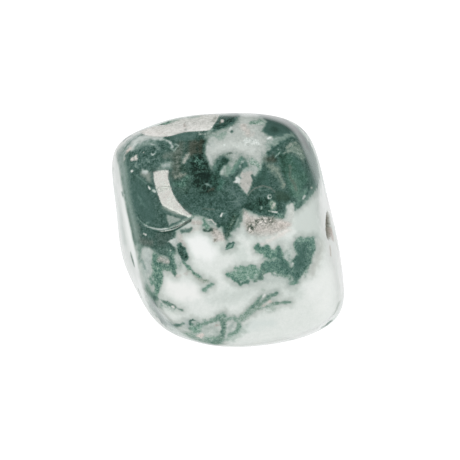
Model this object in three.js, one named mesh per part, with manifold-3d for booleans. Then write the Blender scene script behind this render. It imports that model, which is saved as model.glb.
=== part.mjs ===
// Tree agate tumbled stone, in millimetres, resting on its flat base at z = 0.
// It is one piece of rock: a small sawn block that was tumbled until its faces swelled and its
// edges rounded, with a few flake scars and pits that the tumbling didn't reach the bottom of.

import * as THREE from 'three';
import { mergeVertices } from 'three/addons/utils/BufferGeometryUtils.js';
import Module from 'manifold-3d';

// How the block is described: as someone sees it who looks down on it at this angle.
// clock is a direction across the view, 0 to the right and 90 up. lean is how far a direction
// turns from the plane of the view towards the viewer. Both are in degrees.
const VIEW_ELEVATION = 65;

// The worn faces of the block, each at its distance from the middle of the stone.
const FACES = [
  { name: 'broad', clock: 300, lean: 86, distance: 8.3 },
  { name: 'upper', clock: 98, lean: 62, distance: 10.2 },
  { name: 'lower', clock: 288, lean: 60, distance: 10.3 },
  { name: 'left_shoulder', clock: 178, lean: 60, distance: 10.3 },
  { name: 'right_shoulder', clock: 352, lean: 58, distance: 10.8 },
  { name: 'right', clock: 13, lean: 12, distance: 10.9 },
  { name: 'right_top', clock: 46, lean: 9, distance: 14.02 },
  { name: 'top', clock: 87.5, lean: 8, distance: 12.86 },
  { name: 'top_left', clock: 114, lean: 10, distance: 13.71 },
  { name: 'left', clock: 184.5, lean: 11, distance: 12.3 },
  { name: 'left_low', clock: 212, lean: 9, distance: 12.05 },
  { name: 'low', clock: 249, lean: 8, distance: 13.65 },
  { name: 'low_mid', clock: 272, lean: 4, distance: 13.6 },
  { name: 'low_right', clock: 300, lean: 8, distance: 14.65 },
  { name: 'right_low', clock: 335, lean: 10, distance: 15.98 },
  { name: 'under', clock: 270, lean: -VIEW_ELEVATION, distance: 8.1 },
  { name: 'back', clock: 90, lean: -58, distance: 9.9 },
  { name: 'back_left', clock: 185, lean: -42, distance: 11.3 },
  { name: 'back_right', clock: 5, lean: -42, distance: 11.1 },
  { name: 'heel', clock: 270, lean: -20, distance: 13.2 },
];
const EDGE_SHARPNESS = 12; // a higher power leaves tighter edges between the faces

// Broad swells that tumbling left in the faces: height and length of each wave, and where it starts.
const SWELLS = [
  { clock: 20, lean: 25, height: 0.05, length: 9.5, start: 3.4 },
  { clock: 118, lean: 35, height: 0.05, length: 8.0, start: 0.2 },
  { clock: 250, lean: 50, height: 0.02, length: 6.5, start: 3.1 },
  { clock: 70, lean: -45, height: 0.06, length: 10.5, start: 5.0 },
];

// A thin round flake is gone beside the left edge of the broad face. right, up and near place its
// middle in the view. Its floor leaves the worn surface at a straight edge, hinge away from the
// middle, and goes deeper towards clock, up to depth at the rim.
const FLAKE = { right: -7.4, up: 3.75, near: 7.5, radius: 3.75, clock: 246, hinge: 1.08, depth: 0.18 };

// A flat is worn on the upper left edge, where clock and lean point to, this far into the surface.
const WORN_EDGE = { clock: 115, lean: 15, depth: 0.43 };

// What else is missing from the block, each hollow a part of an ellipsoid sunk into the surface
// where clock and lean point to. across, along and deep are its half sizes, depth is how far it
// goes in, and turn is how far along is turned from up.
const HOLLOWS = [
  { name: 'long_pit', clock: 2.6, lean: 10.9, across: 1.0, along: 2.15, deep: 0.95, depth: 0.9, turn: -50 },
  { name: 'chip', clock: 317, lean: 3, across: 14, along: 14, deep: 14, depth: 0.22, turn: 0 },
  { name: 'back_flake', clock: 60, lean: -28, across: 12, along: 15, deep: 13, depth: 0.35, turn: 30 },
  { name: 'heel_flake', clock: 232, lean: -22, across: 10, along: 14, deep: 11, depth: 0.3, turn: 60 },
  { name: 'side_pit', clock: 12, lean: -20, across: 0.6, along: 1.0, deep: 0.7, depth: 0.6, turn: 40 },
  { name: 'back_pit', clock: 118, lean: -38, across: 0.9, along: 0.6, deep: 0.6, depth: 0.5, turn: 15 },
  { name: 'left_pit', clock: 197, lean: -12, across: 0.45, along: 1.3, deep: 0.6, depth: 0.5, turn: -20 },
];

const BASE_CUT = 0.28; // how much the flat base takes off the lowest point
const SURFACE_STEPS = 16; // splits of each edge of the icosahedron that the body starts from
const TOOL_SIDES = 28; // sides of the round tools that make the flake and the hollows
const BOWL_RINGS = 6; // rings in a tool's rounded end
const TOOL_CLEARANCE = 1.2; // how far a tool stands clear of the surface it cuts
const BAR_LENGTH = 12; // reaches from the middle of the stone to outside it
const FLAT_TOOL_SIZE = 40; // wider than the stone
const MERGE_DISTANCE = 1e-5; // corners nearer to each other than this are one corner

// A place in the view, as a place in the stone's own axes: to the right, up, and nearer.
function viewPoint(right, up, near) {
  const e = THREE.MathUtils.degToRad(VIEW_ELEVATION);
  return new THREE.Vector3(
    right,
    up * Math.sin(e) - near * Math.cos(e),
    up * Math.cos(e) + near * Math.sin(e),
  );
}

function viewDirection(clock, lean) {
  const c = THREE.MathUtils.degToRad(clock);
  const l = THREE.MathUtils.degToRad(lean);
  return viewPoint(Math.cos(l) * Math.cos(c), Math.cos(l) * Math.sin(c), Math.sin(l));
}

const faces = FACES.map((face) => ({
  normal: viewDirection(face.clock, face.lean),
  distance: face.distance,
}));
const swells = SWELLS.map((swell) => ({ ...swell, axis: viewDirection(swell.clock, swell.lean) }));

// Distance from the middle of the stone to its surface along a unit direction.
function surfaceRadius(direction) {
  let sum = 0;
  for (const { normal, distance } of faces) {
    sum += Math.max(0, direction.dot(normal) / distance) ** EDGE_SHARPNESS;
  }
  const block = sum ** (-1 / EDGE_SHARPNESS);
  let swell = 0;
  for (const { axis, height, length, start } of swells) {
    swell += height * Math.sin((2 * Math.PI * block * direction.dot(axis)) / length + start);
  }
  return block + swell;
}

// Outward normal of the worn block, without its swells, where a unit direction meets it.
function surfaceNormal(direction) {
  const sum = new THREE.Vector3();
  for (const { normal, distance } of faces) {
    const reach = Math.max(0, direction.dot(normal) / distance) ** (EDGE_SHARPNESS - 1);
    sum.addScaledVector(normal, reach / distance);
  }
  return sum.normalize();
}

// The rock before anything is missing: an even triangle ball pushed out to the worn surface.
function blockGeometry() {
  const geometry = onlyPositions(new THREE.IcosahedronGeometry(1, SURFACE_STEPS));
  const position = geometry.attributes.position;
  const point = new THREE.Vector3();
  for (let i = 0; i < position.count; i += 1) {
    point.fromBufferAttribute(position, i).normalize();
    point.multiplyScalar(surfaceRadius(point));
    position.setXYZ(i, point.x, point.y, point.z);
  }
  return geometry;
}

// A round bar along the line of sight, over the thin flake.
function flakeBarGeometry() {
  const geometry = new THREE.CylinderGeometry(FLAKE.radius, FLAKE.radius, BAR_LENGTH, TOOL_SIDES);
  geometry.rotateX(THREE.MathUtils.degToRad(180 - VIEW_ELEVATION));
  const middle = viewPoint(FLAKE.right, FLAKE.up, BAR_LENGTH / 2);
  geometry.translate(middle.x, middle.y, middle.z);
  return onlyPositions(geometry);
}

// The block again, tipped about the straight edge of the flake: its surface is the flake's floor.
function flakeFloorGeometry(block) {
  const towards = viewDirection(FLAKE.clock, 0);
  const axis = viewPoint(0, 0, 1).cross(towards);
  const hinge = viewPoint(FLAKE.right, FLAKE.up, FLAKE.near).addScaledVector(towards, FLAKE.hinge);
  const direction = hinge.normalize();
  const pivot = direction.clone().multiplyScalar(surfaceRadius(direction));
  const slope = FLAKE.depth / (FLAKE.radius - FLAKE.hinge);
  const tip = new THREE.Matrix4().makeRotationAxis(axis, slope);
  const geometry = block.clone();
  geometry.translate(-pivot.x, -pivot.y, -pivot.z);
  geometry.applyMatrix4(tip);
  geometry.translate(pivot.x, pivot.y, pivot.z);
  return geometry;
}

// The tool that takes a hollow out: a bowl of the ellipsoid with straight walls above its rim.
function hollowGeometry({ clock, lean, across, along, deep, depth, turn }) {
  const rim = Math.acos(Math.max(0, 1 - (depth + TOOL_CLEARANCE) / deep));
  const profile = [];
  for (let i = 0; i <= BOWL_RINGS; i += 1) {
    const angle = (rim * i) / BOWL_RINGS;
    profile.push(new THREE.Vector2(Math.sin(angle), -Math.cos(angle)));
  }
  const top = -Math.cos(rim) + (2 * TOOL_CLEARANCE) / deep;
  profile.push(new THREE.Vector2(Math.sin(rim), top), new THREE.Vector2(0, top));
  const geometry = new THREE.LatheGeometry(profile, TOOL_SIDES);
  geometry.rotateX(Math.PI / 2); // the bowl now opens along +Z
  geometry.scale(across, along, deep);
  geometry.rotateZ(THREE.MathUtils.degToRad(turn));

  const direction = viewDirection(clock, lean);
  const outward = surfaceNormal(direction);
  const sideways = new THREE.Vector3().crossVectors(viewPoint(0, 1, 0), outward).normalize();
  const upwards = new THREE.Vector3().crossVectors(outward, sideways);
  const surface = direction.clone().multiplyScalar(surfaceRadius(direction));
  const place = new THREE.Matrix4().makeBasis(sideways, upwards, outward);
  place.setPosition(surface.addScaledVector(outward, deep - depth));
  geometry.applyMatrix4(place);
  return onlyPositions(geometry);
}

// The tool that leaves a flat: a big block whose inner side goes through a point.
function flatGeometry(point, outward) {
  const geometry = new THREE.BoxGeometry(FLAT_TOOL_SIZE, FLAT_TOOL_SIZE, FLAT_TOOL_SIZE);
  geometry.translate(0, 0, FLAT_TOOL_SIZE / 2);
  const turn = new THREE.Quaternion().setFromUnitVectors(new THREE.Vector3(0, 0, 1), outward);
  geometry.applyQuaternion(turn);
  geometry.translate(point.x, point.y, point.z);
  return onlyPositions(geometry);
}

function baseGeometry(lowest) {
  return flatGeometry(new THREE.Vector3(0, 0, lowest + BASE_CUT), new THREE.Vector3(0, 0, -1));
}

function wornEdgeGeometry() {
  const direction = viewDirection(WORN_EDGE.clock, WORN_EDGE.lean);
  const outward = surfaceNormal(direction);
  const surface = direction.multiplyScalar(surfaceRadius(direction));
  return flatGeometry(surface.addScaledVector(outward, -WORN_EDGE.depth), outward);
}

// A closed mesh that keeps only its corners, each corner once.
function onlyPositions(geometry) {
  geometry.deleteAttribute('normal');
  geometry.deleteAttribute('uv');
  return mergeVertices(geometry, MERGE_DISTANCE);
}

const wasm = await Module();
wasm.setup();

function toSolid(geometry) {
  return new wasm.Manifold(
    new wasm.Mesh({
      numProp: 3,
      vertProperties: new Float32Array(geometry.attributes.position.array),
      triVerts: new Uint32Array(geometry.index.array),
    }),
  );
}

function toGeometry(solid) {
  const mesh = solid.getMesh();
  const geometry = new THREE.BufferGeometry();
  geometry.setAttribute('position', new THREE.BufferAttribute(mesh.vertProperties, 3));
  geometry.setIndex(new THREE.BufferAttribute(mesh.triVerts, 1));
  return geometry;
}

// The finished stone, moved so that its base is at z = 0 under the middle of its outline.
function stoneGeometry() {
  const block = blockGeometry();
  block.computeBoundingBox();
  const base = toSolid(baseGeometry(block.boundingBox.min.z));
  const wornEdge = toSolid(wornEdgeGeometry());
  const flake = toSolid(flakeBarGeometry()).subtract(toSolid(flakeFloorGeometry(block)));
  let solid = toSolid(block).subtract(base).subtract(wornEdge).subtract(flake);
  for (const hollow of HOLLOWS) {
    solid = solid.subtract(toSolid(hollowGeometry(hollow)));
  }
  const geometry = toGeometry(solid);
  geometry.computeBoundingBox();
  const middle = geometry.boundingBox.getCenter(new THREE.Vector3());
  geometry.translate(-middle.x, -middle.y, -geometry.boundingBox.min.z);
  geometry.computeVertexNormals();
  return geometry;
}

const polishedTreeAgate = new THREE.MeshStandardMaterial({
  name: 'polished tree agate',
  color: 0xa9b8b1,
  roughness: 0.12,
  metalness: 0,
});

const stone = new THREE.Mesh(stoneGeometry(), polishedTreeAgate);
stone.name = 'stone';

const treeAgateStone = new THREE.Group();
treeAgateStone.add(stone);

export default treeAgateStone;
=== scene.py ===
import math

import bmesh
import bpy
import numpy as np
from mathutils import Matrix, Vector, noise


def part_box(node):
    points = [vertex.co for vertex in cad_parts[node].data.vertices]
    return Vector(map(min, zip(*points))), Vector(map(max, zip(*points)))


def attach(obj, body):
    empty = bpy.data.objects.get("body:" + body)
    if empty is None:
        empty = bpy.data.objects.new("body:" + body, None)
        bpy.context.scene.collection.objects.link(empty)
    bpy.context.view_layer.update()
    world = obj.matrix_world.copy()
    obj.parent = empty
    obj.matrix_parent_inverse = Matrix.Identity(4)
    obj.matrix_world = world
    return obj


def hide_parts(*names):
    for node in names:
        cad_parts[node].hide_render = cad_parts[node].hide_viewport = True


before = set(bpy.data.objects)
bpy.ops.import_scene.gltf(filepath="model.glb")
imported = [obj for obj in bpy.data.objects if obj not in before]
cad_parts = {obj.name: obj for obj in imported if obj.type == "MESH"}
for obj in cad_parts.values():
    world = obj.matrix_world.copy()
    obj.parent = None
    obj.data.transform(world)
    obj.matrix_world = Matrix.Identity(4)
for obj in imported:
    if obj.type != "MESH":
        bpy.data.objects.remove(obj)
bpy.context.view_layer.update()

# The stone: a block of tree agate, which is white quartz with dark green mineral growths in it.
# It was sawn small and tumbled with ever finer grit until its faces swelled, its edges rounded
# and its surface took a glassy polish. Everything here is in millimetres until the mesh is made.
MILLIMETRE = 0.001

# The block is described as seen by someone who looks down on it at this angle. clock is a
# direction across the view, 0 to the right and 90 up, and lean is how far it turns to the viewer.
VIEW_ELEVATION = math.radians(65)


def view_point(right, up, near):
    """A place in the view as a place in the stone's own axes."""
    e = VIEW_ELEVATION
    return np.array([
        right,
        up * math.sin(e) - near * math.cos(e),
        up * math.cos(e) + near * math.sin(e),
    ])


def view_direction(clock, lean):
    """The unit direction towards clock and lean."""
    c, l = math.radians(clock), math.radians(lean)
    return view_point(math.cos(l) * math.cos(c), math.cos(l) * math.sin(c), math.sin(l))


# The worn faces: clock, lean, and distance from the middle of the stone.
FACES = [
    (300, 86, 8.3),
    (98, 62, 10.2),
    (288, 60, 10.3),
    (178, 60, 10.3),
    (352, 58, 10.8),
    (13, 12, 10.9),
    (46, 9, 14.02),
    (87.5, 8, 12.86),
    (114, 10, 13.71),
    (184.5, 11, 12.3),
    (212, 9, 12.05),
    (249, 8, 13.65),
    (272, 4, 13.6),
    (300, 8, 14.65),
    (335, 10, 15.98),
    (270, -65, 8.1),
    (90, -58, 9.9),
    (185, -42, 11.3),
    (5, -42, 11.1),
    (270, -20, 13.2),
]
EDGE_SHARPNESS = 12.0

# Broad swells in the faces: clock, lean, height, length and start of each wave.
SWELLS = [
    (20, 25, 0.05, 9.5, 3.4),
    (118, 35, 0.05, 8.0, 0.2),
    (250, 50, 0.02, 6.5, 3.1),
    (70, -45, 0.06, 10.5, 5.0),
]


def block_radius(directions):
    """Distance from the middle of the stone to its worn surface along unit directions."""
    total = 0.0
    for clock, lean, distance in FACES:
        reach = np.maximum(0.0, directions @ view_direction(clock, lean) / distance)
        total = total + reach ** EDGE_SHARPNESS
    radius = total ** (-1 / EDGE_SHARPNESS)
    swell = 0.0
    for clock, lean, height, length, start in SWELLS:
        along = radius * (directions @ view_direction(clock, lean))
        swell = swell + height * np.sin(2 * math.pi * along / length + start)
    return radius + swell


def block_normal(direction):
    """Outward normal of the worn block where one unit direction meets it."""
    total = np.zeros(3)
    for clock, lean, distance in FACES:
        normal = view_direction(clock, lean)
        reach = max(0.0, float(direction @ normal) / distance)
        total += reach ** (EDGE_SHARPNESS - 1) / distance * normal
    return total / np.linalg.norm(total)


# A thin flake is missing beside the left edge of the broad face: right, up and radius in the view.
# Its floor starts at a straight edge, FLAKE_HINGE from its middle, and sinks towards clock.
FLAKE_RIGHT, FLAKE_UP, FLAKE_RADIUS = -7.4, 3.75, 3.75
FLAKE_CLOCK, FLAKE_HINGE, FLAKE_DEPTH = 246, 1.08, 0.18

# A flat is worn on the upper left edge: clock, lean and depth.
WORN_EDGE = (115, 15, 0.43)

# Hollows: clock, lean, half sizes across, along and deep, how far in, and how far along is turned.
HOLLOWS = [
    (2.6, 10.9, 1.0, 2.15, 0.95, 0.9, -50),
    (317, 3, 14, 14, 14, 0.22, 0),
    (60, -28, 12, 15, 13, 0.35, 30),
    (232, -22, 10, 14, 11, 0.3, 60),
    (12, -20, 0.6, 1.0, 0.7, 0.6, 40),
    (118, -38, 0.9, 0.6, 0.6, 0.5, 15),
    (197, -12, 0.45, 1.3, 0.6, 0.5, -20),
]
RIM_WEAR = 0.12          # how wide the tumbling has rounded the rim of each scar
BASE_CUT = 0.28          # how much the flat base takes off the lowest point
MISSED = 99.0            # a radius outside the stone, for a direction that misses a hollow or a flat
GRAZING = 0.05           # directions nearer than this to lying along a flat miss it


def worn_least(a, b):
    """The lesser of two radii, with the edge between them rounded."""
    near = np.maximum(RIM_WEAR - np.abs(a - b), 0.0) / RIM_WEAR
    return np.minimum(a, b) - near * near * RIM_WEAR / 4


def flat_radius(directions, point, outward):
    """Where directions meet a flat through point."""
    facing = directions @ outward
    return np.where(facing > GRAZING, (point @ outward) / np.maximum(facing, GRAZING), MISSED)


def surface_spot(clock, lean):
    """The place and outward normal of the worn block towards clock and lean."""
    direction = view_direction(clock, lean)
    return direction * block_radius(direction[None])[0], block_normal(direction)


def hollow_radius(directions, clock, lean, across, along, deep, depth, turn):
    """Where directions leave the surface for the near side of a sunken ellipsoid."""
    spot, outward = surface_spot(clock, lean)
    sideways = np.cross(view_point(0, 1, 0), outward)
    sideways /= np.linalg.norm(sideways)
    upwards = np.cross(outward, sideways)
    t = math.radians(turn)
    axes = np.array([
        (sideways * math.cos(t) + upwards * math.sin(t)) / across,
        (upwards * math.cos(t) - sideways * math.sin(t)) / along,
        outward / deep,
    ])
    middle = axes @ (spot + outward * (deep - depth))
    rays = directions @ axes.T
    a = (rays * rays).sum(1)
    b = rays @ middle
    c = middle @ middle - 1
    inside = b * b - a * c
    near = (b - np.sqrt(np.maximum(inside, 0.0))) / a
    return np.where((inside > 0) & (b > 0), near, MISSED)


def stone_radius(directions):
    """Distance from the middle to the finished surface along unit directions."""
    radius = block_radius(directions)
    surface = directions * radius[:, None]
    right = surface @ view_point(1, 0, 0)
    up = surface @ view_point(0, 1, 0)
    near = surface @ view_point(0, 0, 1)
    across, over = right - FLAKE_RIGHT, up - FLAKE_UP
    off = np.hypot(across, over)
    c = math.radians(FLAKE_CLOCK)
    towards = across * math.cos(c) + over * math.sin(c)
    depth = FLAKE_DEPTH * np.maximum(0, towards - FLAKE_HINGE) / (FLAKE_RADIUS - FLAKE_HINGE)
    rim = np.clip((FLAKE_RADIUS - off) / RIM_WEAR + 0.5, 0.0, 1.0)
    radius = radius - depth * rim * rim * (3 - 2 * rim) * (near > 0)

    lowest = surface[:, 2].min()
    base = flat_radius(directions, np.array([0, 0, lowest + BASE_CUT]), np.array([0, 0, -1.0]))
    radius = worn_least(radius, base)
    clock, lean, depth = WORN_EDGE
    spot, outward = surface_spot(clock, lean)
    radius = worn_least(radius, flat_radius(directions, spot - outward * depth, outward))
    for hollow in HOLLOWS:
        radius = worn_least(radius, hollow_radius(directions, *hollow))
    return radius


# The mesh starts as an even ball of triangles. They are drawn together towards the viewer,
# where the finest marks are, and each corner is then moved out to the stone's surface.
BALL_SPLITS, EXTRA_CUTS, DRAW_TOGETHER = 6, 2, 0.3
bm = bmesh.new()
bmesh.ops.create_icosphere(bm, subdivisions=BALL_SPLITS, radius=1.0)
bmesh.ops.subdivide_edges(bm, edges=bm.edges[:], cuts=EXTRA_CUTS, use_grid_fill=True)
stone_mesh = bpy.data.meshes.new("stone_surface")
bm.to_mesh(stone_mesh)
bm.free()

corners = np.zeros(len(stone_mesh.vertices) * 3)
stone_mesh.vertices.foreach_get("co", corners)
corners = corners.reshape(-1, 3)
directions = corners / np.linalg.norm(corners, axis=1, keepdims=True)
directions = directions + DRAW_TOGETHER * view_point(0, 0, 1)
directions /= np.linalg.norm(directions, axis=1, keepdims=True)
surface = directions * stone_radius(directions)[:, None]

# The stone's middle sits where the frame has it: centred on the frame's box, with its base on it.
low, high = (np.array(corner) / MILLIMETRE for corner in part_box("stone"))
middle = (low + high) / 2 - (surface.min(0) + surface.max(0)) / 2
middle[2] = low[2] - surface[:, 2].min()
stone_mesh.vertices.foreach_set("co", ((surface + middle) * MILLIMETRE).ravel())
stone_mesh.update()
for face in stone_mesh.polygons:
    face.use_smooth = True
stone = bpy.data.objects.new("tumbled_stone", stone_mesh)
bpy.context.scene.collection.objects.link(stone)
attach(stone, "root")
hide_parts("stone")

# The growths in the quartz, and among them a few painted highlights, reflections and shades. Each
# mark has a place in the photograph's picture, which looks at the stone from VIEWER_AWAY, and colours
# the stone's surface there. A mark's tone goes from 0, white quartz, to 1, the darkest growth. mottle
# is how strongly it is speckled, warm how far it turns to cream or brown, green how far from teal to
# green, and edge how wide its border fades, in pixels.
PIXEL = 0.11                     # millimetres of stone for each pixel, at the stone's middle
PICTURE = 460                    # pixels each way
VIEWER_AWAY = 300.0              # millimetres from the stone's middle

# Clouds and clear places in the quartz: name, tone, mottle, warm, green, edge, points. A point with
# two numbers (x, y) belongs to an outline. One with three (x, y, width) is a spot in a chain.
CLOUDS = [
    ("milky body", .085, .04, .15, .2, 16,
     [(150, 250), (176, 236), (205, 228), (250, 226), (296, 212), (322, 200), (350, 290),
      (336, 335), (262, 352), (190, 350), (152, 325), (136, 285)]),
    ("white heart", .0, .0, .05, .05, 12, [(190, 242, 10), (200, 247, 22), (208, 254, 16)]),
    ("lower white heart", .015, .0, .25, .15, 10, [(168, 285, 10), (181, 291, 18), (198, 293, 12)]),
    ("right white", .035, .02, .15, .2, 20, [(316, 292, 16), (330, 274, 16), (325, 305, 16)]),
    ("grey haze", .17, .04, .1, .2, 14,
     [(213, 300, 8), (235, 296, 14), (262, 286, 14), (288, 288, 12), (298, 294, 8)]),
    ("haze by the lens", .14, .04, .1, .3, 10, [(238, 250, 14), (244, 262, 12)]),
    ("haze at the grain", .17, .05, .1, .1, 8, [(238, 232, 10), (268, 236, 12), (290, 244, 8)]),
    ("haze right of the block", .22, .05, .3, .2, 10,
     [(322, 240, 5), (321, 248, 6), (316, 262, 8), (312, 272, 8)]),
    ("blue haze", .13, .02, 0, 0, 10, [(248, 327, 8), (258, 324, 10), (272, 322, 6)]),
    ("low rim haze", .04, .02, .1, .1, 8, [(288, 338, 5), (308, 332, 5), (326, 320, 5), (334, 308, 3)]),
    ("low left haze", .22, .1, 0, .6, 8, [(230, 338, 8), (236, 333, 9), (243, 330, 7)]),
    ("smooth grey face", .16, .01, .1, .2, 6,
     [(294, 206), (311, 197), (318, 188), (322, 205), (322, 238), (300, 240), (294, 225)]),
    ("right rim", .03, .0, .1, .1, 9,
     [(318, 180), (318, 200), (322, 230), (328, 250), (335, 270), (339, 300), (352, 300), (352, 180)]),
    ("upper quartz", .27, .14, .2, .1, 5,
     [(200, 136), (214, 131), (226, 127), (237, 112), (262, 106), (268, 118), (268, 134),
      (276, 140), (276, 150), (266, 160), (256, 170), (250, 180), (236, 184), (224, 182),
      (208, 174), (200, 152)]),
    ("upper quartz haze", .38, .15, .1, .45, 6, [(214, 137.5, 5), (220, 138, 6), (225, 134, 4)]),
    ("upper quartz light", .19, .08, .15, 0, 7,
     [(212, 149, 5), (222, 147, 8), (236, 146, 9), (252, 149, 8)]),
    ("blue haze at the top", .25, .05, 0, 0, 4, [(213, 145, 4)]),
    ("pale top", .2, .1, .1, .1, 6, [(241, 114, 4), (250, 117, 6), (244, 124, 5)]),
    ("pink quartz", .26, .25, .7, 0, 6, [(244, 127, 6), (249, 133, 8)]),
    ("white crumbs", .15, .3, .1, .05, 5, [(247, 141, 6), (257, 143, 5)]),
    ("shoulder quartz", .4, .14, .1, .25, 6, [(268, 146, 6), (276, 140, 8), (290, 134, 6), (303, 133, 8)]),
    ("shoulder light", .28, .1, .05, .1, 4,
     [(272, 140.5, 3), (283, 136, 3), (294, 132.5, 3), (303, 131, 4)]),
]
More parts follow.
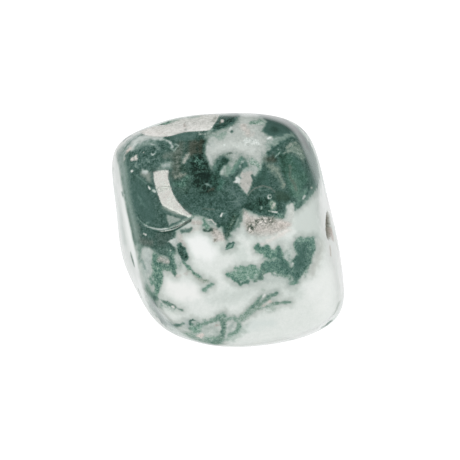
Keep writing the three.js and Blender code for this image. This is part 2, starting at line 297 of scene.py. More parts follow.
GROWTHS = [
    ("main mass", .76, .26, .05, .2, 4,
     [(121, 166), (119, 155), (123, 146), (130, 138), (141, 133), (150, 136), (172, 134), (190, 131),
      (208, 129), (206, 135), (202.4, 144), (200.4, 150), (201, 156), (204, 161.5), (208, 167),
      (210.6, 170.5),
      (213.6, 164), (217, 159), (221.6, 157), (228, 157), (228.5, 161.5), (224, 164.5), (220.5, 170.5),
      (219.5, 175.5), (227, 176), (232, 171), (236, 164), (241, 156.5), (246, 160), (248.5, 166),
      (244, 170), (240, 174), (236, 178), (238, 184), (243, 190), (247, 194.5), (251, 187), (254, 178),
      (259, 170), (264, 163.5), (270, 158), (277.5, 148), (287, 141), (294, 138), (301, 137), (308, 144),
      (314, 156), (318, 172), (318, 184), (313, 191), (306, 199.6), (299, 207), (295, 209.6), (294, 203),
      (290, 202), (287, 206), (284, 218), (275, 218), (262, 217), (253, 213), (246, 208), (244, 209),
      (240.4, 213), (236.6, 220), (233.4, 227), (230, 234), (227.4, 240), (223.6, 237), (224, 227),
      (218, 226), (214, 222),
      (208, 218.5), (200, 215.5), (194, 214.5), (183, 219), (172, 227), (176, 232), (175, 238),
      (170, 242), (175, 247), (175, 255), (166, 257), (158, 255), (154, 249), (142, 246), (136, 244),
      (131, 236), (129, 220), (126, 200), (123, 180)]),
    # corner: paler where the upper left corner rounds over, a painted highlight.
    ("corner", .32, .2, .05, 0, 7, [(120, 160, 6), (124, 149, 10), (131, 140, 8)]),
    ("corner lines", .54, .1, 0, .05, 2.5,
     [(121.5, 162, 1.6), (122.5, 153, 1.6), (127, 145, 1.6), (134, 138, 1.2)]),
    ("polished flat", .74, .1, 0, .15, 9, [(137, 186, 12), (143, 203, 22), (150, 218, 12)]),
    ("flat's light streaks", .66, .1, 0, .25, 3, [(139, 195, 1.6), (141.5, 203, 2), (146, 206, 1.4)]),
    ("upper left dark", .76, .42, 0, .1, 7, [(139, 156, 12), (150, 151, 13), (160, 147, 8)]),
    ("upper left mottle", .7, .4, 0, .1, 6, [(134, 163, 6), (145, 162, 8), (156, 159, 6)]),
    ("low edge of the mass", .65, .2, .35, 0, 7, [(134, 232, 6), (140, 240, 7), (150, 243, 7)]),
    ("neutral left", .7, .06, .35, 0, 8, [(128, 212, 3), (132, 222, 6), (137, 228, 6)]),
    ("under the flake", .74, .25, .2, .1, 5, [(160, 236, 9), (168, 235, 9), (162, 243, 9)]),
    ("grey shelf", .48, .06, .35, 0, 6, [(143, 173, 5), (147.5, 175.5, 8), (149, 181, 4)]),
    ("blue grey shelf", .3, .1, .05, 0, 5, [(163, 165.8, 5), (168.5, 165, 6), (174, 165, 4)]),
    ("shelf shadow", .54, .2, .1, .1, 4, [(158.5, 168, 3), (166, 169.5, 2.6), (173, 169, 3)]),
    ("pale column", .6, .2, .35, .2, 6, [(166, 156, 6), (172, 154, 5)]),
    ("olive column", .68, .3, .5, .3, 7, [(181, 145, 8), (177, 158, 10), (177, 174, 12)]),
    ("brown column", .78, .25, .75, .2, 6, [(194, 144, 10), (192, 151, 10), (198, 152, 6)]),
    ("dark stripe", .69, .12, 0, .1, 4, [(172, 136.5, 4), (184, 136, 6), (194, 136.5, 6)]),
    ("crumbs by the patch", .5, .5, .2, .1, 3, [(199, 133.8, 3), (206, 134.5, 3)]),
    ("core", .93, .45, .1, .3, 7,
     [(203, 142, 4), (201, 154, 6), (200, 165, 16), (202, 180, 20), (205, 189, 10)]),
    ("core heart", 1, .2, 0, .1, 6, [(205, 177, 8), (213, 180.5, 8), (211, 189, 6)]),
    ("core edge", .86, .2, .8, .1, 3, [(201, 141, 4), (200, 151, 4)]),
    ("sparkle", .84, .7, 0, .6, 5, [(196, 160, 8), (201, 165, 7)]),
    ("dark left of the core", .8, .35, .2, .5, 6, [(184, 168, 6), (186, 182, 10), (184, 190, 8)]),
    ("dark middle", .8, .26, 0, .15, 7, [(186, 200, 12), (206, 203, 18), (228, 202, 10)]),
    ("teal middle", .73, .3, 0, .2, 7, [(190, 211, 8), (207, 211, 10), (222, 214, 12)]),
    ("middle light", .67, .24, 0, .05, 5, [(231, 190, 6), (237, 196, 7), (242, 200, 6), (236, 205, 6)]),
    ("green below the wedge", .66, .3, 0, .75, 5, [(222, 182, 7), (219, 188, 5)]),
    ("stem", .85, .3, .1, .6, 3, [(236.6, 215, 5), (232.6, 221, 6), (228.4, 228, 6)]),
    ("stem olive", .72, .4, .35, .8, 3, [(235.6, 216, 3), (231, 224, 3), (227.4, 236, 4)]),
    ("grey left of the grain", .6, .15, .1, .3, 3,
     [(242.8, 211, 3), (241.4, 216, 3.6), (240, 221, 3.6), (236.6, 227, 2.6)]),
    ("right lump", .7, .25, .12, .85, 7, [(288, 162, 16), (297, 178, 22), (295, 192, 12)]),
    ("lump teal", .74, .14, 0, .5, 6, [(296, 160, 6), (300, 170, 5)]),
    ("lump light green", .62, .2, .2, .9, 7, [(292, 176, 5), (295, 184, 8), (298, 194, 6)]),
    ("lump streaks", .64, .2, .5, .8, 3, [(290, 166, 2), (290.5, 177, 2.4), (297, 189, 2)]),
    ("lump olive", .82, .2, .7, .3, 5, [(268, 160, 5), (273, 159, 6)]),
    ("lump dark", .86, .2, .1, .7, 5, [(279, 152, 4), (283.5, 158, 6), (284.5, 166, 5)]),
    ("lump drop", .85, .15, .1, .8, 3, [(284.5, 172, 3), (284.8, 177, 2.6)]),
    ("lump band", .8, .2, 0, .25, 3.4,
     [(268.6, 153.6, 4), (277, 146.6, 5), (287, 140.4, 4.4), (294, 138, 3)]),
    ("lump left", .77, .14, 0, .35, 6, [(259, 180, 8), (264, 175, 8), (267, 183, 6)]),
    ("lump left dark", .85, .12, 0, .25, 4, [(257, 183, 4), (261, 180, 4)]),
    ("lump foot", .86, .32, .05, .4, 4, [(252, 206, 6), (262, 204, 12), (272, 204, 10)]),
    ("lump foot left", .9, .2, 0, .3, 2.5, [(246.5, 206, 4), (251, 207.6, 6)]),
    ("lump foot smooth", .82, .1, .3, .65, 5, [(279, 196, 10), (286, 198, 7)]),
    ("lump foot border", .8, .36, .1, .5, 4, [(262, 211, 4), (270, 212, 5)]),
    ("lump foot tip", .66, .45, 0, .4, 4, [(277, 215, 5), (280.6, 215.6, 5)]),
    ("lump fibres", .56, .4, .3, .5, 8,
     [(285, 147), (292, 141), (300, 142), (305, 148), (307, 156), (302, 160), (296, 154), (289, 152)]),
    ("lump fibre light", .47, .4, .25, .4, 6, [(296, 151, 3), (301, 155, 4), (303, 160, 2.4)]),
    ("lump fibre lines", .44, .1, .4, .3, 1.6,
     [(281, 150.5, 1), (287, 147.5, 1.2), (293, 143.5, 1.2), (299, 141.5, 1)]),
    ("lump fibre lines lower", .47, .1, .35, .4, 1.6,
     [(283, 153.5, 1), (290, 150, 1.2), (297, 148.5, 1.2), (303, 151, 1)]),
    ("pale streak", .52, .2, .4, .5, 6, [(270, 165, 6), (275, 169.6, 8), (280, 176, 4), (283.8, 187, 3.4)]),
    ("lump right edge", .66, .06, .05, .25, 5,
     [(303, 141, 5), (308.5, 151, 5), (311.6, 164, 6), (312, 180, 4)]),
    ("lump rim", .6, .05, 0, .2, 4,
     [(309.5, 144, 1), (314.5, 156, 1.6), (316.6, 168, 2), (316, 180, 3), (313, 189, 4), (307, 198, 3)]),
    ("lump low right", .6, .15, .1, .7, 6, [(306, 190, 4), (300, 199, 5), (296, 204, 3)]),
    ("top left growth", .75, .3, 0, .25, 4,
     [(211, 131), (214.5, 124), (219, 116), (223, 112), (234, 111), (236.5, 118), (234.5, 124.5),
      (229, 126),
      (224, 128.5), (218, 131)]),
    ("top left growth edge", .6, .4, .4, .4, 4, [(215, 121, 3), (217, 117.5, 3)]),
    ("top left growth dark", .86, .25, 0, .2, 3.5, [(214.6, 128, 4), (219, 126.6, 3), (231, 119.6, 5)]),
    ("top right growth", .76, .06, 0, .2, 4,
     [(263, 131), (266, 122), (269, 117), (276, 112), (290, 116), (299, 128), (298, 131), (291, 133),
      (284, 135), (276, 137), (269, 136)]),
    ("top right growth light", .66, .04, 0, .05, 6, [(274, 119.5, 4), (284, 121, 5), (292, 127, 4)]),
    ("top right growth dark", .88, .08, .05, .1, 6, [(274.5, 129.5, 6)]),
    ("top right rim", .96, .05, 0, .2, 5,
     [(268, 115, 3), (277, 116, 5), (286, 119.6, 6), (294, 126, 6), (301, 135, 5), (305.6, 144, 4)]),
    ("top mottle", .42, .5, .1, .7, 4, [(250.6, 122.6, 2), (257, 121.5, 5), (263, 122, 5)]),
    ("quartz border light", .25, .1, .15, 0, 3,
     [(207.6, 147, 3), (207.4, 151, 4), (209, 157, 4), (212.6, 165, 2.4)]),
    ("knob", .9, .15, 0, .35, 2.2, [(225.5, 161, 5.5), (222, 164.5, 4)]),
    ("knob tail", .86, .3, 0, .45, 3.5, [(221.5, 165, 5), (217.5, 173, 6), (214, 182, 9)]),
    ("knob side", .68, .2, .1, .55, 3, [(218.5, 162, 3), (214, 169.5, 2.4)]),
    ("ring by the knob", .6, .4, .3, 0, 2, [(225.3, 155.3, 1.6), (228, 153.5, 2), (231.5, 152.8, 2.6)]),
    ("vein light", .56, .2, 0, .55, 4, [(241.5, 158, 3), (237.5, 164, 5), (232.5, 171.5, 5)]),
    ("vein blob", .68, .2, 0, .45, 2.6, [(244.8, 164.6, 5.6), (245.6, 167.4, 4)]),
    ("mottle left of the lump", .44, .4, .05, .6, 5, [(252, 161, 4), (257, 163.6, 5), (259, 168, 4)]),
    ("vein blob rim", .4, .15, 0, .05, 2,
     [(240.5, 166.5, 2), (241.5, 163, 2), (244, 160.5, 1.8), (248, 161, 1.4)]),
    ("pale wedge light", .3, .1, .1, .3, 3, [(224.5, 167, 3), (222, 173, 3)]),
    ("pale wedge fade", .48, .15, .05, .45, 4, [(228.5, 168, 3.4), (227, 174, 3)]),
    ("quartz triangle", .3, .12, .55, 0, 2.2,
     [(241.4, 171.4), (247, 169.4), (252.4, 171), (251.4, 176), (252, 182), (250, 188), (247, 194.5),
      (244.3, 191),
      (240.5, 186), (241, 178)]),
    ("triangle top", .37, .12, .1, .1, 3, [(244, 170.6, 2.6), (250, 169, 3), (255, 168.6, 4)]),
    ("triangle star", .16, .1, .1, 0, 1.8, [(235, 182, 2), (238, 180.5, 4), (237, 177, 2.4)]),
]
VEINS = [
    ("pale left haze", .22, .12, 0, 0, 6, [(147, 251, 7), (147.5, 261, 8), (147, 271, 6)]),
    ("left haze shade", .5, .12, .05, .2, 4, [(139, 246, 4), (139.6, 254, 3.4), (141.4, 262, 2.4)]),
    ("upper rim band", .27, .1, 0, .3, 5, [(143, 264, 3), (144.4, 274, 4), (146.4, 284, 6)]),
    ("left haze streak", .42, .1, 0, .1, 2, [(143.5, 262, 1.6), (144.8, 269, 2.4)]),
    ("left haze foot", .5, .2, 0, .5, 3, [(150.5, 277, 3), (152, 284, 4)]),
    ("fork top", .7, .3, .1, .35, 5, [(158, 249, 5), (167, 250, 8)]),
    ("fork heart", .62, .4, .1, .6, 4, [(157, 259, 7), (161, 266, 8), (168, 267.6, 8), (172.6, 268, 5)]),
    ("fork heart right", .66, .35, .1, .5, 4, [(172, 256, 5), (172, 263, 5)]),
    ("fork left arm", .58, .4, .05, .7, 3.5,
     [(154.5, 255, 4), (156, 263, 7), (158, 271, 10), (158, 280, 9), (157.5, 288, 7), (156, 295, 4)]),
    ("fork right arm", .64, .35, .05, .55, 3,
     [(171, 252, 6), (172.5, 261, 6), (174, 269, 4.5), (175, 276, 2.5)]),
    ("fork pink", .44, .3, .5, .1, 3.5, [(160.5, 259.6, 6), (166, 261, 5)]),
    ("fork pink light", .34, .35, .5, 0, 1.8, [(161.5, 259, 1.8), (168, 261.4, 1.6)]),
    ("fork edge pink", .2, .1, .5, .1, 2.4, [(176, 276.4, 1.4), (181, 275, 1.6), (187, 273.6, 1.2)]),
    ("chip", .2, .12, .1, 0, 1.8,
     [(168, 241.5), (171.6, 239.6), (177, 237.8), (178.4, 242), (175.6, 248), (172.5, 245)]),
    ("cream by the chip", .2, .12, .5, 0, 4, [(178, 233, 3), (181, 239, 5), (185, 246, 3)]),
    ("dark block", .79, .4, 0, .35, 2, [(180, 246, 6), (182, 251.6, 7.6), (184.6, 257.4, 8)]),
    ("block haze", .3, .15, .1, .3, 4, [(176, 257, 5), (180, 266, 5)]),
    ("beaded vein warm", .32, .15, .5, .6, 2.4,
     [(188, 270, 1.6), (195, 276, 2), (203, 281, 3), (208.5, 281.6, 1.4)]),
    ("beaded vein", .56, .35, .05, .7, 1.8,
     [(184, 263, 2.6), (188, 267, 3.4), (192.5, 271.5, 3.6), (196, 274.5, 3.2), (200.5, 277.6, 2.8)]),
    ("beaded vein end", .42, .25, .4, .7, 1.8, [(200, 278.4, 2.4), (204, 280.4, 2.8), (209, 281.4, 2.2)]),
    ("short mark haze", .24, .1, 0, .4, 4, [(211, 285, 5), (204, 290, 6)]),
    ("short mark", .52, .2, 0, .55, 2.4, [(212.2, 284.2, 3), (208.5, 286.6, 2.2), (204.5, 289.8, 3.4)]),
    ("small vein haze", .24, .3, .05, .55, 5, [(160, 305, 3), (168, 308, 5), (175, 309, 3)]),
    ("small vein", .6, .2, .1, .4, 1.8,
     [(151.6, 295.4, 3), (155, 297.4, 2.6), (160, 300, 2.2), (166, 302.4, 2), (172, 304.6, 2),
      (177, 307.6, 1.8), (184, 311, 1)]),
    ("rim band", .52, .1, .1, .45, 4.5,
     [(147, 288, 5), (150.4, 297, 6), (153.6, 305, 6), (156.6, 312, 5), (160, 318, 4.6), (165, 322.6, 4.4),
      (170, 325.6, 4), (176, 327, 3)]),
    ("rim band dark", .72, .1, .1, .3, 4,
     [(154, 298, 2), (154.6, 305, 2.6), (157.4, 312, 2), (160.6, 318, 2), (166, 323, 2)]),
    ("rim stroke", .62, .12, 0, .25, 2.6, [(169, 325, 2), (177, 325.4, 2.6), (184.5, 323.4, 2)]),
    ("bottom haze", .34, .25, .05, .7, 7,
     [(172, 330, 5), (180, 334, 6), (190, 336, 9), (204, 339, 9), (220, 340, 7)]),
    ("bottom inner", .27, .12, .1, .3, 5, [(206, 330, 7), (214, 327.5, 7), (217, 334, 6)]),
    ("bottom inner pink", .32, .1, .9, .1, 1.8, [(215.5, 325.6, 1.6), (221, 324.4, 1.6)]),
    ("bottom vein", .5, .25, .05, .5, 3.5,
     [(190, 328, 3), (197, 326, 4), (204, 323, 4.4), (212, 321, 4.6), (218, 318, 6), (223, 317, 7)]),
    ("bottom peak", .46, .25, .05, .5, 3, [(221, 314, 3), (223, 312.5, 1.6)]),
    ("blue by the ring", .17, .04, 0, 0, 2.5, [(186.5, 321.5, 4), (187, 326, 4)]),
    ("ring", .76, .1, 0, .3, 1.4,
     [(190, 323.6, 1.6), (189.8, 320.8, 1.8), (192.5, 319.5, 1.8), (195, 320.2, 1.4)]),
    ("ring heart", .2, .05, .2, .2, 1.1, [(192.4, 321.8, 2.4)]),
    ("ring foot", .6, .2, 0, .4, 1.2, [(191, 324.6, 1.6), (194, 324.6, 1.6)]),
    ("ring stem", .44, .3, 0, .7, 3.5, [(193, 328, 4), (196, 331, 6), (200, 328, 4)]),
    ("bottom edge band", .42, .25, .05, .5, 5,
     [(194, 338, 3), (204, 341, 3.4), (212, 342, 5), (219, 341, 5)]),
    ("bottom knot", .54, .25, .05, .5, 2.4, [(213, 343, 2.4), (217, 344, 2.6), (220.5, 341, 2.6)]),
    ("bottom knot light", .25, .1, .1, .5, 1.4, [(216.7, 341.7, 1.8)]),
    ("bottom branch", .54, .3, .1, .45, 3.4,
     [(222.5, 319, 6), (223.3, 328, 5.6), (222.4, 336, 6), (218, 341, 5)]),
    ("bottom loop", .48, .22, .05, .5, 3,
     [(227, 319, 3), (233, 317.6, 3.4), (238, 320, 4), (239.4, 326, 4), (236, 332, 4), (229, 335.6, 4)]),
    ("loop heart", .35, .1, .05, .15, 3, [(229.5, 328, 3.4), (232.5, 323.5, 4)]),
    ("bottom arm", .44, .25, .1, .5, 3.4,
     [(239, 321, 5), (244, 316.6, 9), (250, 311.4, 7), (254.4, 306, 5), (258.4, 301, 4.4),
      (261.6, 297, 3)]),
    ("bottom arm right", .44, .25, .15, .5, 3,
     [(254, 312, 3), (258.4, 306.4, 4), (263, 301.6, 4), (270, 296.4, 4), (276.6, 293.2, 2.4)]),
    ("bottom arm dark", .56, .25, .1, .5, 2,
     [(250, 310.4, 1.6), (254.4, 306, 2.2), (258.6, 300.8, 2.4), (261.4, 297.6, 1.6)]),
    ("bottom arm right dark", .58, .25, .05, .4, 2,
     [(262.4, 301.4, 1.6), (267, 298, 2.2), (271.4, 295.6, 2.6), (276.4, 293.2, 1.6)]),
    ("bottom arm tip", .34, .2, .1, .7, 2, [(264, 290.2, 2.4)]),
    ("bottom fork", .42, .25, .15, .5, 3,
     [(251, 312, 2), (257, 309.4, 3), (264, 307, 4), (271, 304.6, 5), (279, 303, 4), (286, 302, 2.6),
      (291, 302, 2)]),
    ("bottom fork haze", .28, .25, .05, .55, 5, [(267, 309, 5), (274, 308, 5)]),
    ("bottom fork dark", .54, .2, .05, .5, 1.8, [(277, 302.6, 1.8), (284, 301.8, 2), (290, 302.2, 1.8)]),
    ("fork cream", .24, .15, .9, .2, 1.6, [(262, 306, 1.6), (266, 303.8, 1.8), (270, 301.4, 1.8)]),
    ("peach spot", .16, .2, 1, 0, 2, [(198, 336, 3.4), (202.4, 335, 3.4)]),
    ("lens", .76, .15, 0, .35, 1.5,
     [(225.6, 248.8, 1.4), (228.6, 246.4, 5), (231, 244.8, 5.6), (233, 243.2, 3.4)]),
    ("lens line", .5, .1, 0, .5, 1.2, [(227.6, 247.8, 1.4), (232.4, 244, 1.6)]),
    ("lens tail", .3, .1, 0, 0, 2, [(222.5, 248.6, 1.6), (224.8, 248.8, 1.6)]),
    ("middle growth haze", .26, .2, .05, .35, 6,
     [(258, 252, 4), (270, 258, 6), (286, 256, 6), (291, 250, 5)]),
    ("middle growth left", .58, .36, 0, .65, 3,
     [(255, 244.6), (257.4, 243), (262, 246), (267, 244.6), (270, 247.4), (274, 250), (276, 248.6),
      (279, 245.6),
      (281.6, 250), (283.4, 253.4), (281, 258.4), (275, 259.4), (270, 259), (265, 256), (260.6, 253),
      (256, 251.4),
      (254, 247.4)]),
    ("middle growth knob", .66, .25, 0, .45, 3, [(279, 250, 4), (279.6, 254.6, 5)]),
    ("middle growth band", .6, .34, 0, .5, 3,
     [(259.6, 267), (262, 262.6), (267, 260), (274, 260.4), (279, 258.4), (285, 258), (289, 262),
      (291, 267),
      (292, 275), (288, 277), (281, 274.4), (274, 272.4), (267, 273), (261, 272.6)]),
    ("low haze of the growth", .42, .3, .05, .4, 4, [(272, 274, 2), (280, 276, 3), (290, 278, 3)]),
    ("growth foot haze", .24, .08, .05, .2, 7, [(262, 279, 4), (274, 280, 5), (286, 282, 5)]),
    ("pale gap", .32, .2, .05, .3, 4, [(287, 252, 5), (288.6, 258, 6), (291, 262, 3)]),
    ("middle growth lump", .56, .12, 0, .6, 2.6, [(266.5, 265.5, 6)]),
    ("middle growth dark", .7, .2, 0, .4, 3, [(281, 263, 5), (286, 267, 5), (290, 272, 4)]),
    ("middle growth link", .6, .3, .1, .45, 2.6,
     [(254.6, 280.6, 3), (257.6, 279, 4.4), (261, 276.6, 5), (263, 271, 4)]),
    ("middle growth sponge", .46, .34, 0, .7, 5,
     [(230, 275, 6), (236, 275.4, 10), (244, 274.6, 14), (252, 272.6, 13), (258, 271, 6)]),
    ("sponge arm", .5, .3, 0, .65, 3, [(236, 268.4, 4), (240, 268.4, 5), (247, 268, 4), (253, 266, 3)]),
    ("sponge left edge", .56, .3, 0, .75, 2.4, [(228, 273.6, 3.4), (230.6, 277.4, 2.6), (235, 280.4, 2.4)]),
    ("sponge low edge", .66, .25, .05, .6, 1.7,
     [(237.6, 281.6, 2), (241, 284, 2.4), (245, 282, 2), (248.4, 281.4, 1.8)]),
    ("sponge low light", .34, .1, .1, .7, 1.2, [(241, 282.4, 1.6)]),
    ("block growth", .65, .34, 0, .35, 3.4,
     [(296, 239), (301, 237), (304, 240.6), (307.4, 240.6), (310, 237), (314.4, 237), (314.6, 241),
      (313.4, 245), (315.6, 250), (313.8, 254), (312, 258), (311.4, 263), (307.6, 268), (304, 272),
      (301, 277),
      (298, 281.6), (294, 285), (289.6, 283.6), (293, 280), (292, 276.6), (288.4, 273), (290, 269),
      (293, 265.6),
      (292.4, 261), (294, 257.6), (298, 254), (294.6, 250), (294, 246), (295.4, 242)]),
    ("block growth heart", .72, .12, 0, .3, 5, [(303, 248, 6), (301, 258, 8), (297, 268, 6)]),
    ("block growth lobes", .52, .3, 0, .5, 3, [(299, 240, 4), (312, 239, 4), (312.4, 246, 5)]),
    ("block growth tip", .5, .25, 0, .6, 2.4, [(291, 283.4, 2), (295, 282.6, 3)]),
    ("block growth crumbs", .48, .3, 0, .6, 3, [(306.5, 272.6, 3), (305, 277, 1.6)]),
    ("upper grain", .28, .3, .75, .05, 7,
     [(244, 210.6), (250, 215), (260, 217.6), (270, 218), (280, 219.4), (288, 222), (287, 229),
      (276, 234), (262, 235),
      (250, 234), (243, 224)]),
    ("upper grain dots", .4, .8, .7, 0, 5, [(251, 228, 7), (256, 222, 5), (264, 221.6, 8), (271, 221, 6)]),
    ("upper grain dark", .56, .6, .6, .1, 2.4, [(250.6, 226.4, 2), (254, 230, 2)]),
    ("upper grain edge", .22, .3, .9, .2, 5, [(281, 224, 6), (289, 225, 4)]),
    ("grain streak", .1, .1, .7, .1, 5, [(268, 241, 3), (280, 235, 4), (290, 229, 3)]),
    ("lower grain", .24, .3, .75, 0, 6, [(214, 231, 7), (218, 236, 9), (222, 238, 6)]),
    ("lower grain dots", .42, .5, .8, 0, 2.6, [(215.4, 239.4, 4)]),
    ("haze below the tip", .33, .15, .15, .2, 4, [(198, 217, 3), (203, 219, 4)]),
    ("beige haze", .28, .25, .75, .05, 4, [(194, 222.6, 5), (199, 223, 5)]),
    ("cream haze", .17, .1, .5, .1, 5, [(189, 230, 4), (198, 228, 5)]),
    ("notch", .2, .12, .25, .1, 2.2, [(292, 205, 3), (291.4, 212, 5), (290, 219, 6)]),
    ("green cluster", .56, .35, .05, .75, 2.6, [(203.8, 219.6, 2.6), (205, 224, 4.4), (208, 227.6, 4)]),
    ("cluster foot", .64, .2, .05, .2, 3, [(181.5, 231.4, 3), (187, 230.6, 4), (190.6, 228.6, 2)]),
    ("cluster dark", .8, .2, .3, .3, 2, [(205, 230, 2.4), (208.4, 230.8, 2.6), (211.4, 230, 2.2)]),
    ("cluster dark right", .82, .2, 0, .35, 2.6, [(219.6, 225.4, 4), (223.4, 225, 3)]),
    # Painted reflection: a soft pale sheen along the rounded upper left edge, with the darker part inside
    # it.
    ("inside the painted sheen", .47, .12, 0, 0, 8, [(135, 149, 5), (140, 145.4, 7), (147, 143, 7), (155, 142, 4)]),
    ("painted sheen on the corner", .15, .06, 0, 0, 5,
     [(131, 149, 3), (135, 142.6, 5), (140, 138.6, 6), (146, 137.4, 6), (154, 138, 3.6),
      (162, 138.2, 2.6)]),
    ("curl of the painted sheen", .27, .1, .05, 0, 2.4,
     [(160, 137.8, 1.8), (166.4, 139.6, 2), (170.8, 142.8, 2.2), (172, 146.4, 2.2)]),
    ("corner cream", .18, .3, .9, .1, 2, [(130.6, 147.4, 2.6), (127.8, 151.4, 3)]),
    ("corner cream tail", .32, .4, .6, .1, 2, [(127, 152.8, 2), (124.8, 157.4, 1.6), (123.6, 161.4, 1.2)]),
    ("corner patch", .2, .3, .6, 0, 1.4,
     [(131.6, 159, 2.6), (134.6, 158.6, 4), (136.6, 155.6, 2.6), (137.4, 154.8, 2)]),
    ("beige streak", .38, .25, .55, .2, 4, [(188.5, 154, 3), (186.4, 158, 3.6), (184, 161.6, 2.4)]),
    ("low beige streak", .44, .3, .55, .25, 3.6,
     [(185.6, 173.8, 2.4), (180, 175.6, 3.4), (176, 177.4, 2.4)]),
    ("green in the column", .7, .5, .1, .8, 4, [(176, 184, 5), (182, 184, 6), (187, 178, 5)]),
    ("fleck in the core", .4, .1, 0, 0, 1.5, [(205.6, 184.4, 1.8), (208.4, 184.6, 2.4)]),
    ("fleck's shade", .66, .1, 0, 0, 1.8, [(211, 186, 2.4)]),
    ("brown in the core", .84, .2, .8, .1, 2.4, [(208, 191, 2), (213, 188.6, 2.4)]),
    ("shelf heart", .2, .06, 0, 0, 3, [(143, 171.4, 2.4), (146.4, 171.8, 3)]),
    ("flake sliver", .42, .12, .2, .05, 1.4,
     [(166, 214.6), (171.6, 216.4), (181, 219), (176, 222), (169, 225.4)]),
    ("band shadow", .52, .06, .05, .1, 3, [(165.6, 208.4, 2), (172, 211.4, 2), (179, 214, 1.4)]),
]
